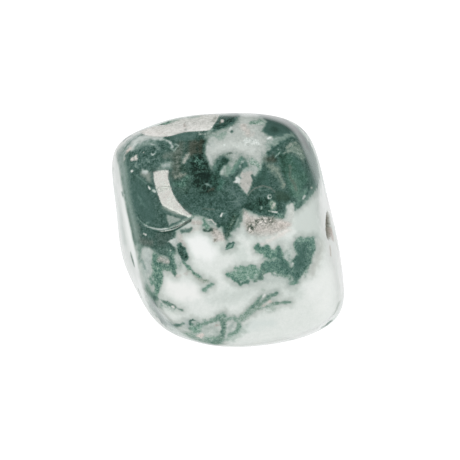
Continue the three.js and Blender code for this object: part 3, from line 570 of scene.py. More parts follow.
FLECKS = [
    # The pale band on the shoulder is the strip lamp mirrored in the polish; its soft lower edge here is
    # painted reflection.
    ("painted soft foot of the reflected band", .4, .1, .3, .1, 5.5,
     [(164.6, 207.6, 3), (172, 211.4, 3.6), (181, 215.2, 2.6)]),
    # Along the left rim: white quartz with a painted highlight and sheen on the rounding, fading through
    # the strip border into the dark.
    ("strip border", .43, .05, 0, 0, 9,
     [(120, 156, 5), (123.4, 168, 8), (125.4, 186, 7), (128, 200, 6), (131.6, 214, 6), (135, 229, 6),
      (137.5, 244, 3)]),
    ("left strip", .05, .02, .05, .05, 2.6,
     [(106, 150), (114, 154), (118.4, 165), (120.6, 180), (122.6, 192), (125.4, 206), (128.6, 220),
      (131.6, 234),
      (134.6, 250), (138, 266), (140.8, 280), (142.8, 290), (145.4, 300), (147, 306), (106, 306)]),
    ("left edge painted highlight", .0, .0, 0, 0, 3,
     [(118, 184, 2.4), (120, 193, 3.4), (123, 207, 3.6), (126.6, 222, 3.4), (129.8, 237, 3.4),
      (133, 252, 3.4),
      (136, 268, 3), (139.4, 284, 2)]),
    ("left strip shade", .12, .03, 0, 0, 3.4,
     [(115, 186, 1.4), (118, 206, 3), (121, 226, 4), (124.6, 244, 4)]),
    ("dot", .06, 0, .3, 0, 1.1, [(132, 171, 2.6)]),
    ("oval", .06, 0, .2, 0, 1, [(148.8, 187, 1.6), (150, 189, 1.6)]),
    ("blob", .25, .1, .1, .3, 1.3, [(153, 190.5, 2.4), (155, 191.5, 2.6)]),
    ("flat scratch", .6, .1, .1, .5, 1.6, [(134, 174, 1), (140, 178.5, 1.2), (147, 183.5, 1)]),
    ("flat bubble", .5, .1, 0, .3, 1.2, [(146.4, 224.4, 1.2), (146.6, 222.6, 1.2), (149, 222.6, 1.2)]),
    ("speck chain", .3, .1, 0, 0, 1.2,
     [(151.2, 144, 1.4), (154.6, 144.6, 1.2), (156.4, 147, 1), (157.6, 149.4, 1.2), (160, 147.6, 1)]),
    ("low speck chain", .26, .1, 0, 0, 1.2,
     [(151.2, 153.6, 1.2), (152.8, 155.2, 1.4), (154.8, 153, 1), (155.8, 151.6, 1)]),
    ("chain haze", .56, .2, 0, 0, 3, [(156, 146, 3), (160, 149, 2)]),
    ("squiggle", .34, .1, 0, 0, 1.3,
     [(171.6, 149.2, 1), (174.4, 150.8, 1.2), (176.6, 147.4, 1), (179, 145.8, 1), (177.4, 144.8, 1),
      (175.2, 144.4, 1.2)]),
    ("small speck", .26, .1, .5, .1, 1.1, [(143.9, 152.4, 1.5)]),
    ("left curl", .46, .15, 0, 0, 1.3, [(135.6, 164, 1), (135.4, 166.8, 1.2), (138.4, 168, 1)]),
    ("speck on the dark", .2, .1, .3, 0, 1, [(143.6, 233.6, 1.6), (145.8, 234.8, 2)]),
    ("fork speck", .2, .1, .1, .1, 1, [(170.6, 250.6, 1.6)]),
    ("top pit", .72, .1, 0, 0, 1.5, [(231.8, 131.6, 2.8)]),
    ("top pit halo", .16, .05, 0, 0, 1.6, [(229.8, 129.6, 1.4), (231.2, 127.4, 1.8)]),
    ("top ring", .2, .1, .7, .2, 1.2, [(222.2, 121, 3.6)]),
    ("top ring heart", .62, .1, .9, 0, 1, [(220.2, 123, 1.8)]),
    ("quartz speck", .05, 0, 0, 0, 1.4, [(224.4, 144.8, 1.6)]),
    ("shoulder fleck", .06, .05, 0, 0, 1.4, [(267.8, 138.8, 1.6), (270, 137.4, 2)]),
    ("scratch", .3, .1, 0, .3, 1, [(274.6, 157.6, .9), (280, 152.4, 1.2)]),
    ("scratch dot", .3, .1, 0, .2, 1, [(279, 149.8, 1.5)]),
    ("triangle fleck", .78, .1, 0, 0, 1.5, [(252, 175.5, 2.4), (253, 178.4, 2)]),
    ("triangle dots", .6, .1, .4, 0, 1.1, [(240.8, 183.4, 1.2)]),
    ("triangle dot", .55, .1, .4, 0, 1.1, [(247.8, 183.4, 1)]),
    ("triangle eye", .52, .1, 0, .1, 1.3, [(239.4, 176.8, 1.6), (241, 178.4, 1.4)]),
    ("ring arc", .56, .05, .6, .1, 1.3,
     [(248, 195.6, .7), (251, 191.4, .9), (255, 188.2, 1.1), (262.8, 185.8, 1.1), (270.6, 187.8, 1.1),
      (275, 192, .8)]),
    ("long line", .6, .05, 0, 0, 1.4, [(226, 202, .8), (236, 201.4, 1.1), (245, 199, .9)]),
    ("low line", .62, .05, 0, 0, 1.3, [(231.5, 204.8, .8), (240, 204, 1)]),
    ("olive line", .68, .1, .5, .4, 1.6, [(202.5, 208.6, 1), (214.4, 209.6, 1.2)]),
    ("bubble", .27, .05, .2, .2, 1, [(269.6, 196.7, 4.6)]),
    ("bubble dark", .84, .1, 0, .2, .9, [(270, 196.6, 2.6)]),
    ("bubble light", .03, 0, 0, 0, .9, [(268.4, 198.2, 1.2)]),
    ("cream patch", .5, .3, .35, 1, 3, [(272, 203, 6), (273.6, 207, 6)]),
    ("cream patch light", .33, .3, .5, 1, 2, [(274.4, 204, 3), (272.6, 207.6, 2.6)]),
    ("white line", .3, .1, .3, .1, 1.4, [(268.6, 210.8, .8), (272.6, 211.6, 1.2)]),
    ("white line end", .1, .05, .3, 0, 1.1, [(272.6, 211.8, 1.2), (276.8, 212.2, 1.4)]),
    ("foot speck", .42, .2, .1, .4, 1.4, [(261.6, 207, 1.8), (261.4, 209, 1.4)]),
    ("lump oval", .26, .05, .1, .1, 1.6, [(303, 198.6, 2), (304.8, 196, 2.4)]),
    ("lump fleck", .32, .05, .4, .1, 1.6, [(311.6, 187.6, 2.2)]),
    ("lump yellow", .42, .1, .7, .7, 1.6, [(284.6, 184.6, 1.8)]),
    ("lump speck", .4, .1, .5, .5, 1.2, [(280, 177, 1.4)]),
    ("middle fleck", .1, .05, .1, 0, 1.3, [(222.2, 213.4, 1.4), (221, 216, 2)]),
    ("middle fleck's side", .45, .1, 0, 0, 1.4, [(223.8, 213.6, 1.8)]),
    ("cluster ring", .2, .1, .45, 0, 1.3, [(208.4, 219.8, 1.4), (211.6, 219.8, 1.4), (213.8, 222.6, 1.2)]),
    ("cluster ring heart", .48, .1, .1, .1, 1.6, [(210.8, 222.6, 2.6)]),
    ("cluster light", .24, .1, .3, 0, 1.4, [(215.4, 224, 2)]),
    ("vein dot", .05, 0, .6, 0, 1.1, [(172, 306.2, 1.6), (173.4, 307, 2)]),
    ("small white", .12, .05, .2, 0, 1.4, [(264.6, 294.8, 2), (263, 297, 1.4)]),
    ("block eye", .12, .05, 0, 0, 1.3, [(292.9, 263.4, 2)]),
    ("pink fleck", .18, .1, .7, 0, 1.6, [(261, 243.8, 1.6), (264, 243.4, 1.4)]),
    ("slit", .5, .05, 0, 0, 1.4, [(122, 192, 1), (123, 196, 1.2)]),
    ("low slit", .5, .05, .1, 0, 1.1,
     [(130.5, 252, .5), (131.4, 256, 1.3), (132.8, 261, 1.5), (134.6, 267, .5)]),
    ("foot slit", .6, .05, .1, 0, 1, [(136.2, 286, 1), (137, 290, 1)]),
    ("edge crack", .72, .05, 0, 0, 1.2, [(120.5, 143, 1.1), (123, 140.4, 1.1), (125.8, 138, 1.1)]),
    ("upper edge crack", .72, .05, 0, 0, 1.2, [(127.6, 137, 1.1), (131, 135, 1.1), (134, 133, 1.1)]),
    ("right edge crack", .45, .05, 0, 0, 1.2, [(326, 324.5, .8), (329.5, 322, 1.3), (333, 319.4, 1.2)]),
    ("right edge line", .22, .05, .1, 0, 1.6, [(333, 318, 1), (336, 311, 1), (339.4, 302, 1.6)]),
    ("low edge dash", .3, .05, 0, .5, 1.3, [(284.6, 341.4, 1), (289, 340.4, 1)]),
    ("pit tail", .24, .15, 1, 0, 2, [(331, 228, 1.6), (332.2, 235, 2.4), (332.6, 240, 1.6)]),
    ("pit line", .24, .1, 1, 0, 1.3, [(330.2, 247, .9), (330.8, 256, 1.1)]),
    ("crescent shade", .9, .05, 0, .1, 1.3,
     [(153, 231, .8), (159, 232.2, 1.2), (166, 232.4, 1.4), (173, 231.2, 1.5), (179, 228, 1.4),
      (191, 220.8, 1.2)]),
    # Painted highlight along the left part of the flake's rim, left of the part that mirrors the strip
    # lamp.
    ("faint painted highlight on the flake's rim", .5, .05, 0, .2, 1.2, [(137, 217, .8), (140.6, 221.2, 1), (144.4, 224.6, 1.2)]),
    ("painted highlight on the flake's rim", .24, .1, 0, .1, 1.2,
     [(144.4, 224.6, 1), (148.6, 227, 1.4), (155, 228.9, 1.8), (161, 229.4, 2), (170, 228.2, 1.6)]),
]
# Unpolished places: the flat worn on the upper left edge, whose border is sharp, with the stains on
# it, the fine scratches over the shoulder, and the broken rim of the flake.
WORN_MARKS = [
    ("worn flat", .17, .3, .5, .2, .8,
     [(138, 131), (142, 133.7), (147.5, 135.7), (154.7, 136.6), (162.6, 136.9), (170.6, 136.1),
      (177.8, 133.8),
      (184.2, 131.8), (194.5, 131.2), (205.7, 130.9), (210.5, 129.7), (213, 125.7), (216.2, 121.5),
      (221, 112), (190, 110), (160, 115), (140, 125)]),
    ("warm left end", .07, .4, .85, .3, 6, [(147, 132, 4), (156, 132.5, 6), (166, 132, 6)]),
    ("tan specks", .3, .5, .9, .2, 3, [(157, 131, 3), (166, 133.6, 2)]),
    ("grey top edge", .17, .12, .1, .4, 4, [(160, 121, 4), (178, 117, 4), (196, 115, 4)]),
    ("green smear", .4, .3, .1, .4, 4, [(168, 121.6, 3), (174, 120.4, 3.4)]),
    ("green top line", .34, .2, .1, .5, 3, [(188, 117.4, 2), (199, 116.4, 2)]),
    ("pale right end", .14, .25, .35, .2, 4, [(192, 127.5, 4), (204, 127, 4)]),
    ("warm lower half", .1, .25, .6, .2, 5,
     [(150, 131, 4), (170, 130.6, 6), (186, 128.6, 5), (205, 126.6, 4)]),
    ("bright lower line", .06, .1, .6, .2, 1.6, [(146, 134, 1.4), (156, 135.4, 1.4), (170, 134.6, 1.2)]),
    ("bright lower line right", .06, .1, .5, .2, 1.6,
     [(188, 130.6, 1.2), (200, 130, 1.4), (209, 128.6, 1.4)]),
    ("rust spot", .42, .1, 1, 0, 1.6, [(184.4, 124, 1), (184.6, 126, 2)]),
    ("dull nick", .36, .1, .4, 0, 1.5, [(185.6, 129.6, 2.6)]),
    ("olive end", .42, .4, .6, .5, 3, [(215.6, 118, 2.6), (213.4, 121, 2)]),
    ("scratch over the shoulder", .5, .1, .5, 0, .8,
     [(156.6, 188.6, 1), (160, 187.2, 1.2), (163, 186, 1.4), (167, 186.2, 1.3), (169.4, 187.2, 1)]),
    ("scratch below it", .5, .1, .5, 0, .8, [(160, 188.6, 1), (164, 189, 1.2), (169, 188.6, 1.1)]),
    ("scratch lowest", .5, .1, .5, 0, .8, [(157.6, 191.6, 1.1), (160.6, 191, 1.2), (163, 190.6, 1)]),
    ("dull spot", .5, .1, .5, 0, .8, [(164.4, 182.8, 1.5)]),
    ("flake's rim", .62, .3, .1, .3, 1.4,
     [(168, 228.2, 1.6), (174, 226.2, 2), (180, 223.2, 2), (187, 219.6, 2), (193.4, 217.2, 1.4)]),
    # Painted shade along the flake's rim.
    ("shade line on the flake's rim", .9, .1, .2, .2, 1,
     [(171, 229, 1), (176, 227.4, 2), (184, 223.6, 2), (191, 219.4, 1.4)]),
]

# Where each corner of the mesh lies in the picture, and how squarely it faces the viewer.
across = surface @ view_point(1, 0, 0)
over = surface @ view_point(0, 1, 0)
towards = surface @ view_point(0, 0, 1)
nearness = VIEWER_AWAY / (VIEWER_AWAY - towards) / PIXEL
pictured = np.stack([PICTURE / 2 + across * nearness, PICTURE / 2 - over * nearness], axis=1)
normals = np.zeros(len(stone_mesh.vertices) * 3)
stone_mesh.vertices.foreach_get("normal", normals)
normals = normals.reshape(-1, 3)
facing = normals @ view_point(0, 0, 1)


SEED_STEP = 7.31                            # how far apart the noises of two seeds are taken


def rock_noise(grain, seed, octaves):
    """Noise through the rock at every corner of the mesh, with lumps of about grain millimetres."""
    places = surface / grain + seed * SEED_STEP
    return np.array([noise.fractal(place, 1.0, 2.0, octaves) for place in places.tolist()])


# The borders of the marks wander a little, as the growths' own borders do.
EDGE_WANDER = ((0.9, 0.7), (0.35, 0.7))     # grain in millimetres and reach in pixels
wander = np.zeros_like(pictured)
for turn, (grain, reach) in enumerate(EDGE_WANDER):
    for axis in range(2):
        wander[:, axis] += reach * rock_noise(grain, 11 + 2 * turn + axis, 2)


TINY = 1e-9                                 # keeps a division by nothing from failing


def eased(values, low, high):
    """0 below low, 1 above high, and a smooth rise between."""
    t = np.clip((values - low) / (high - low), 0.0, 1.0)
    return t * t * (3 - 2 * t)


def chain_reach(spots, places):
    """How far inside a chain of round spots each place is, in pixels."""
    if len(spots) == 1:
        spots = np.concatenate([spots, spots])
    best = np.full(len(places), -np.inf)
    for start, end in zip(spots[:-1], spots[1:]):
        step = end[:2] - start[:2]
        t = np.clip((places - start[:2]) @ step / max(step @ step, TINY), 0.0, 1.0)
        off = np.linalg.norm(places - start[:2] - t[:, None] * step, axis=1)
        best = np.maximum(best, (start[2] + t * (end[2] - start[2])) / 2 - off)
    return best


def outline_reach(outline, places):
    """How far inside a closed outline each place is, in pixels."""
    nearest = np.full(len(places), np.inf)
    inside = np.zeros(len(places), bool)
    for start, end in zip(outline, np.roll(outline, -1, axis=0)):
        step = end - start
        t = np.clip((places - start) @ step / (step @ step), 0.0, 1.0)
        nearest = np.minimum(nearest, np.linalg.norm(places - start - t[:, None] * step, axis=1))
        crosses = (start[1] > places[:, 1]) != (end[1] > places[:, 1])
        rise = step[1] if step[1] else TINY
        inside ^= crosses & (places[:, 0] < start[0] + (places[:, 1] - start[1]) * step[0] / rise)
    return np.where(inside, nearest, -nearest)


def lay(fields, cover, where=slice(None), **values):
    """Turn fields to these values as far as cover says, at these corners of the mesh."""
    for name, value in values.items():
        fields[name][where] += (value - fields[name][where]) * cover


# The marks on the side that the photograph shows, laid over quartz that is never quite even. Where
# it shows the surface steeply, their borders also wander along the rim, so that none runs straight
# down the side.
OVER_THE_RIM = -0.3                         # how far round the rim the marks are carried
STEEP_FROM, STEEP_TO = 0.45, 0.1            # facing at which a place counts as steep
STEEP_WANDER, STEEP_GRAIN = 9.0, 2.4        # pixels, millimetres
DEEP_WANDER, DEEP_GRAIN = 26.0, 5.0         # the same further down the side
DEEP_DOWN = 7.0                             # millimetres away from the viewer
EDGE_SPARE = 4                              # pixels by which a border can wander outwards
along_rim = np.stack([normals @ view_point(0, 1, 0), normals @ view_point(1, 0, 0)], axis=1)
along_rim /= np.linalg.norm(along_rim, axis=1, keepdims=True)
steepness = 1 - eased(facing, STEEP_TO, STEEP_FROM)
slide = STEEP_WANDER * rock_noise(STEEP_GRAIN, 17, 3)
slide = slide + DEEP_WANDER * eased(-towards, -DEEP_DOWN, 0.0) * rock_noise(DEEP_GRAIN, 18, 2)
slide = (steepness * slide)[:, None] * along_rim
fields = {
    "tone": 0.16 + 0.05 * rock_noise(2.2, 21, 3) + 0.02 * rock_noise(0.7, 22, 2),
    "mottle": np.full(len(surface), 0.05),
    "warm": np.full(len(surface), 0.12),
    "green": np.full(len(surface), 0.25),
    "worn": np.zeros(len(surface)),
}
FRAY_GRAIN = 0.5                            # millimetres
frayed = rock_noise(FRAY_GRAIN, 15, 3)
DEEP_REACH, DEEP_STRENGTH = 8.0, 0.22       # growths show faintly round their edges, from below

# Each kind of mark: how far its border wanders, slides and frays, how much shows from below, and
# how far the polish is lost.
for marks, wobble, sliding, fray, deep, polish_lost in (
    (CLOUDS, 1.0, 1.0, 3.0, 0, 0),
    (GROWTHS, 1.0, 1.0, 1.6, DEEP_STRENGTH, 0),
    (VEINS, 0.7, 1.0, 1.5, DEEP_STRENGTH, 0),
    (FLECKS, 0.15, 0.5, 0.1, 0, 0),
    (WORN_MARKS, 0.0, 0.0, 0.0, 0, 1),
):
    for name, tone, mottle, warm, green, edge, points in marks:
        spots = np.array(points, float)
        chain = spots.shape[1] == 3
        margin = edge + EDGE_SPARE + (STEEP_WANDER + DEEP_WANDER / 2) * sliding
        margin += spots[:, 2].max() / 2 if chain else 0
        low_corner, high_corner = spots[:, :2].min(0) - margin, spots[:, :2].max(0) + margin
        near = ((pictured > low_corner) & (pictured < high_corner)).all(1) & (facing > OVER_THE_RIM)
        places = pictured[near] + wobble * wander[near] + sliding * slide[near]
        reach = (chain_reach if chain else outline_reach)(spots, places)
        reach = reach + fray * frayed[near]
        cover = eased(reach, -edge / 2, edge / 2)
        deeper = np.maximum(fields["tone"][near], tone)
        lay(fields, deep * eased(reach, -DEEP_REACH, 0), near, tone=deeper)
        lay(fields, cover, near, tone=tone, mottle=mottle, warm=warm, green=green)
        fields["worn"][near] = np.maximum(fields["worn"][near], cover * polish_lost)

# Where the photograph shows nothing, the same growths run on through the rock: dark masses with
# mossy borders and paler pockets, veins between them, and clouds in the quartz. Near the rim the
# masses follow the marks, and further round they grow denser towards the upper left.
MASS_GRAIN, MASS_CRUMBS, POCKET_GRAIN = 4.6, 1.3, 1.6    # sizes in millimetres
VEIN_GRAIN, VEIN_CRUMBS, VEIN_PATCH = 3.8, 0.9, 5.0
CLOUD_GRAIN, WARM_GRAIN, GREEN_GRAIN = 3.4, 3.0, 4.5
TAN_GRAIN, TAN_PATCH = 0.9, 3.5
RIM_HOLD = -0.6                             # facing at which the masses stop following the marks
DENSER_OVER = 30.0                          # millimetres
FOLLOWING, MIDDLE_TONE = 1.4, 0.42          # how closely they follow, and the tone where a mass starts
by_the_rim = eased(facing, RIM_HOLD, 0.0)
bias = (over - across) / DENSER_OVER * (1 - by_the_rim)
bias = bias + FOLLOWING * (fields["tone"] - MIDDLE_TONE) * by_the_rim
masses = rock_noise(MASS_GRAIN, 1, 3) + 0.3 * rock_noise(MASS_CRUMBS, 2, 3) + 0.1 * frayed + bias
mass = eased(masses, 0.04, 0.16)
pocket = eased(rock_noise(POCKET_GRAIN, 9, 3) + 0.1 * frayed, 0.12, 0.3)
line = np.abs(rock_noise(VEIN_GRAIN, 3, 2) + 0.12 * rock_noise(VEIN_CRUMBS, 4, 2)) + 0.06 * frayed
patchy = eased(rock_noise(VEIN_PATCH, 5, 2), -0.2, 0.15) * (1 - 0.5 * by_the_rim)
cloud = np.clip(0.14 + 0.2 * rock_noise(CLOUD_GRAIN, 6, 3), 0.03, 0.36)
unseen = {
    "tone": cloud + 0.7 * by_the_rim * (np.minimum(fields["tone"], 0.2) - cloud),
    "mottle": np.full(len(surface), 0.06),
    "warm": np.clip(0.12 + 0.5 * rock_noise(WARM_GRAIN, 7, 2), 0, 0.8),
    "green": np.clip(0.35 + 0.6 * rock_noise(GREEN_GRAIN, 8, 2), 0, 1),
    "worn": np.zeros(len(surface)),
}
# A haze round the masses and the veins, then the veins, the masses with their pockets, and flecks.
lay(unseen, 0.5 * eased(masses, -0.3, 0.1), tone=0.34)
lay(unseen, 0.4 * eased(-line, -0.3, -0.05) * patchy, tone=0.36)
lay(unseen, eased(-line, -0.1, -0.04) * patchy, tone=0.62, mottle=0.5, warm=0.05)
lay(unseen, mass, tone=0.74 + 0.16 * rock_noise(1.8, 10, 3), mottle=0.3, warm=0.05)
lay(unseen, mass * pocket, tone=0.5, mottle=0.55)
tan = eased(rock_noise(TAN_GRAIN, 12, 2), 0.3, 0.4) * eased(rock_noise(TAN_PATCH, 13, 2), 0.0, 0.2)
lay(unseen, tan * eased(masses, -0.05, 0.1), tone=0.22, mottle=0.25, warm=0.7)

# The marks end in a ragged border halfway down the sides.
MARKS_END, MARKS_FADE = 0.0, 0.35           # millimetres towards the viewer
FACING_FADE = 0.09
ragged = 1.6 * rock_noise(2.6, 31, 3) + 0.5 * frayed
shown = eased(towards + ragged, MARKS_END - MARKS_FADE, MARKS_END + MARKS_FADE)
shown = shown * eased(facing, 0.0, FACING_FADE)
lay(fields, 1 - shown, **unseen)

# No polish in the narrow pits, which the grit didn't reach into, and a dark brown fill: brown dirt together
# with painted shade in the pits.
NARROW_PIT = 3.0                            # half its length, in millimetres
PIT_DARK_FROM, PIT_DARK_FULL = 0.03, 0.2          # millimetres below the surface
# The pits' dark brown tone: brown dirt together with painted shade.
pit_dirt_and_shade = 0.48 + 0.15 * rock_noise(0.5, 41, 2)
for pit in (hollow for hollow in HOLLOWS if hollow[3] < NARROW_PIT):
    below = block_radius(directions) - hollow_radius(directions, *pit)
    dirty_and_shaded = eased(below, PIT_DARK_FROM, PIT_DARK_FULL)
    lay(fields, dirty_and_shaded, tone=pit_dirt_and_shade, mottle=0.12, warm=0.85, green=0.0, worn=1.0)
for name, values in fields.items():
    attribute = stone_mesh.attributes.new(name, "FLOAT", "POINT")
    attribute.data.foreach_set("value", values)

# Polished tree agate: quartz has an IOR of 1.54, and the last polish leaves it as smooth as glass.
# The eye gets a thin clear gloss over white that is never quite even, and growths that are felted
# from threads a few hundredths of a millimetre thick, drawn here as specks of 0.15 to 0.5 mm.
QUARTZ_IOR = 1.54
POLISHED_ROUGHNESS, WORN_ROUGHNESS = 0.06, 0.4
FELT_GRAIN, SPECK_GRAIN = 0.4, 0.16

# The colour of each tone, from white quartz to the darkest growth, in three casts.
TONES = {
    "teal": [
        (0, "F4F7F5"), (.12, "DAE2DE"), (.2, "C8D1CC"), (.33, "AFBAB6"), (.4, "9AAAA5"),
        (.48, "82978F"), (.55, "708881"), (.63, "627A73"), (.71, "4F6A64"), (.78, "435D57"),
        (.85, "355048"), (.93, "263C35"), (1, "1A2B26"),
    ],
    "green": [
        (0, "F2F7F4"), (.12, "D6E2DB"), (.2, "C2D1C8"), (.33, "A5BBAE"), (.4, "90AE9E"),
        (.48, "789F8B"), (.55, "658F7E"), (.63, "547F70"), (.71, "446E61"), (.78, "3A6152"),
        (.85, "2F5244"), (.93, "223E33"), (1, "182B23"),
    ],
    "warm": [
        (0, "F6F2ED"), (.12, "E2DBD4"), (.2, "D4CCC5"), (.33, "B9B1A9"), (.4, "A6A096"),
        (.48, "928E83"), (.55, "807D72"), (.63, "6A695E"), (.71, "59594E"), (.78, "4B4E42"),
        (.85, "3E4237"), (.93, "2B3026"), (1, "1E221B"),
    ],
}


def linear(hex_colour):
    """A colour from its sRGB hex value."""
    parts = [int(hex_colour[i:i + 2], 16) / 255 for i in (0, 2, 4)]
    return [p / 12.92 if p <= 0.04045 else ((p + 0.055) / 1.055) ** 2.4 for p in parts] + [1.0]


def add_node(tree, kind, settings=None, **inputs):
    """A node with its settings, and its inputs by number (i0, i1 ...) set or linked."""
    made = tree.nodes.new(kind)
    for name, value in (settings or {}).items():
        setattr(made, name, value)
    for name, value in inputs.items():
        socket = made.inputs[int(name[1:])]
        if isinstance(value, bpy.types.NodeSocket):
            tree.links.new(value, socket)
        else:
            socket.default_value = value
    return made


tree_agate = bpy.data.materials.new("polished_tree_agate")
tree_agate.use_nodes = True
tree = tree_agate.node_tree
shader = tree.nodes["Principled BSDF"]
field = {}
for name in fields:
    field[name] = add_node(tree, "ShaderNodeAttribute", {"attribute_name": name}).outputs["Fac"]
rock = add_node(tree, "ShaderNodeTexCoord").outputs["Object"]
NOISE_ROUGHNESS, NOISE_MIDDLE = 0.6, 0.5
grains = []
for size, detail, strength in ((FELT_GRAIN, 3.0, 1.9), (SPECK_GRAIN, 2.0, 1.7)):
    felt = add_node(tree, "ShaderNodeTexNoise", i0=rock, i2=1 / (size * MILLIMETRE), i3=detail,
                    i4=NOISE_ROUGHNESS)
    centred = add_node(tree, "ShaderNodeMath", {"operation": "SUBTRACT"}, i0=felt.outputs[0],
                       i1=NOISE_MIDDLE)
    grains.append(add_node(tree, "ShaderNodeMath", {"operation": "MULTIPLY"},
                           i0=centred.outputs[0], i1=strength).outputs[0])
grain = add_node(tree, "ShaderNodeMath", {"operation": "ADD"}, i0=grains[0], i1=grains[1])
shade = add_node(tree, "ShaderNodeMath", {"operation": "MULTIPLY_ADD", "use_clamp": True},
                 i0=grain.outputs[0], i1=field["mottle"], i2=field["tone"])
colours = {}
for name, stops in TONES.items():
    ramp = add_node(tree, "ShaderNodeValToRGB", i0=shade.outputs[0])
    elements = ramp.color_ramp.elements
    while len(elements) < len(stops):
        elements.new(0.5)
    for element, (place, colour) in zip(elements, stops):
        element.position = place
        element.color = linear(colour)
    colours[name] = ramp.outputs[0]
greened = add_node(tree, "ShaderNodeMix", {"data_type": "RGBA"}, i0=field["green"], i6=colours["teal"],
                   i7=colours["green"])
warmed = add_node(tree, "ShaderNodeMix", {"data_type": "RGBA"}, i0=field["warm"], i6=greened.outputs[2],
                  i7=colours["warm"])
tree.links.new(warmed.outputs[2], shader.inputs["Base Color"])
rough = add_node(tree, "ShaderNodeMapRange", i0=field["worn"], i1=0.0, i2=1.0, i3=POLISHED_ROUGHNESS,
                 i4=WORN_ROUGHNESS)
tree.links.new(rough.outputs[0], shader.inputs["Roughness"])
shader.inputs["IOR"].default_value = QUARTZ_IOR
stone_mesh.materials.append(tree_agate)

# The camera looks down on the broad face from where the photograph was taken.
camera_data = bpy.data.cameras.new("camera")
camera_data.sensor_width = 36.0
camera_data.lens = camera_data.sensor_width * VIEWER_AWAY / (PICTURE * PIXEL)
camera_data.clip_start, camera_data.clip_end = 0.01, 20.0
camera = bpy.data.objects.new("camera", camera_data)
camera.location = (middle + view_point(0, 0, VIEWER_AWAY)) * MILLIMETRE
camera.rotation_euler = (math.pi / 2 - VIEW_ELEVATION, 0, 0)
bpy.context.scene.collection.objects.link(camera)
bpy.context.scene.camera = camera

# The floor: a white sheet that is lit from below, so that the stone casts no shadow on it.
FLOOR_HALF = 1.5                            # metres
bm = bmesh.new()
bmesh.ops.create_grid(bm, x_segments=1, y_segments=1, size=FLOOR_HALF)
floor_mesh = bpy.data.meshes.new("floor")
bm.to_mesh(floor_mesh)
bm.free()
floor = bpy.data.objects.new("floor", floor_mesh)
bpy.context.scene.collection.objects.link(floor)
floor.visible_glossy = False
white_sheet = bpy.data.materials.new("lit_white_sheet")
white_sheet.use_nodes = True
sheet_shader = white_sheet.node_tree.nodes["Principled BSDF"]
sheet_shader.inputs["Base Color"].default_value = linear("595959")
sheet_shader.inputs["Roughness"].default_value = 0.9
sheet_shader.inputs["Emission Color"].default_value = (1, 1, 1, 1)
sheet_shader.inputs["Emission Strength"].default_value = 1.0
floor_mesh.materials.append(white_sheet)

# The strip lamp: a narrow diffuser that the polished shoulder mirrors as a curved pale band. Its
# long edges are set out from where the band's edges lie in the picture, left and right by turns.
BAND_EDGES = [
    ((153.6, 172.7), (168.7, 170.0)),
    ((153.8, 179.2), (167.7, 177.3)),
    ((155.4, 186.0), (169.8, 184.6)),
    ((157.4, 193.0), (172.4, 192.0)),
    ((159.8, 199.8), (175.4, 198.6)),
    ((162.6, 205.6), (179.3, 203.8)),
    ((172.0, 210.4), (184.0, 209.3)),
    ((180.0, 214.0), (188.6, 213.0)),
    ((189.4, 217.8), (193.4, 217.0)),
]
LAMP_AWAY = 500.0                           # millimetres
LAMP_RADIANCE = 13.0
BAND_BLUR = 0.8                             # pixels over which the surface is averaged for each corner
bm = bmesh.new()
bmesh.ops.create_grid(bm, x_segments=1, y_segments=len(BAND_EDGES) - 1, size=1.0)
rows = sorted({round(v.co.y, 4) for v in bm.verts})
eye = view_point(0, 0, VIEWER_AWAY)
in_view = np.flatnonzero(facing > STEEP_TO)
for v in bm.verts:
    spot = BAND_EDGES[rows.index(round(v.co.y, 4))][0 if v.co.x < 0 else 1]
    off = np.linalg.norm(pictured[in_view] - spot, axis=1)
    weight = np.exp(-(off / BAND_BLUR) ** 2)
    weight /= weight.sum()
    place, normal = weight @ surface[in_view], weight @ normals[in_view]
    normal /= np.linalg.norm(normal)
    sight = (place - eye) / np.linalg.norm(place - eye)
    mirrored = sight - 2 * (sight @ normal) * normal
    v.co = Vector((middle + place + mirrored * LAMP_AWAY) * MILLIMETRE)
lamp_mesh = bpy.data.meshes.new("strip_lamp")
bm.to_mesh(lamp_mesh)
bm.free()
lamp = bpy.data.objects.new("strip_lamp", lamp_mesh)
bpy.context.scene.collection.objects.link(lamp)
lamp.visible_diffuse = False
glow = bpy.data.materials.new("lamp_diffuser")
glow.use_nodes = True
glow.node_tree.nodes.clear()
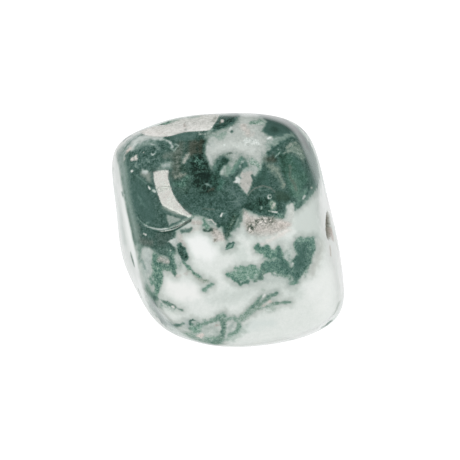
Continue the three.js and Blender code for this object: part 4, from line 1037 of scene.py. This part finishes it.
shine = add_node(glow.node_tree, "ShaderNodeEmission", i0=linear("FFF5F0"), i1=LAMP_RADIANCE)
add_node(glow.node_tree, "ShaderNodeOutputMaterial", i0=shine.outputs[0])
lamp_mesh.materials.append(glow)

# Broad soft lamps all round light every side alike, and aren't mirrored: name, place to the right,
# up and near in millimetres, and watts.
SOFT_LAMP_WIDTH = 0.5                       # metres
for name, place, energy in (
    ("front_lamp", (-90, 110, 420), 0.46),
    ("left_lamp", (-380, 60, 190), 0.8),
    ("right_lamp", (380, -40, 190), 1.0),
    ("back_lamp", (0, 390, 190), 1.21),
    ("low_lamp", (0, -330, 250), 0.81),
):
    soft = bpy.data.lights.new(name, "AREA")
    soft.shape = "DISK"
    soft.size = SOFT_LAMP_WIDTH
    soft.energy = energy
    soft_lamp = bpy.data.objects.new(name, soft)
    soft_lamp.location = (middle + view_point(*place)) * MILLIMETRE
    aim = Vector(middle * MILLIMETRE) - soft_lamp.location
    soft_lamp.rotation_euler = aim.to_track_quat("-Z", "Y").to_euler()
    soft_lamp.visible_glossy = False
    bpy.context.scene.collection.objects.link(soft_lamp)

# The room is dim, with a pale backdrop beyond the stone, which its steep rims mirror.
BACKDROP_REACH = 40                         # degrees round the line of sight
BACKDROP_STRENGTH, ROOM_STRENGTH = 0.85, 0.06
world = bpy.data.worlds.new("dim_room")
world.use_nodes = True
bpy.context.scene.world = world
air = world.node_tree
way = add_node(air, "ShaderNodeTexCoord").outputs["Generated"]
beyond = add_node(air, "ShaderNodeVectorMath", {"operation": "DOT_PRODUCT"}, i0=way,
                  i1=Vector(view_point(0, 0, -1)))
pale = add_node(air, "ShaderNodeMapRange", {"interpolation_type": "SMOOTHSTEP"},
                i0=beyond.outputs["Value"], i1=math.cos(math.radians(BACKDROP_REACH)), i2=1.0,
                i3=ROOM_STRENGTH, i4=BACKDROP_STRENGTH)
air.links.new(pale.outputs[0], air.nodes["Background"].inputs["Strength"])
air.nodes["Background"].inputs["Color"].default_value = linear("FDFEFF")
bpy.context.scene.view_settings.view_transform = "Standard"
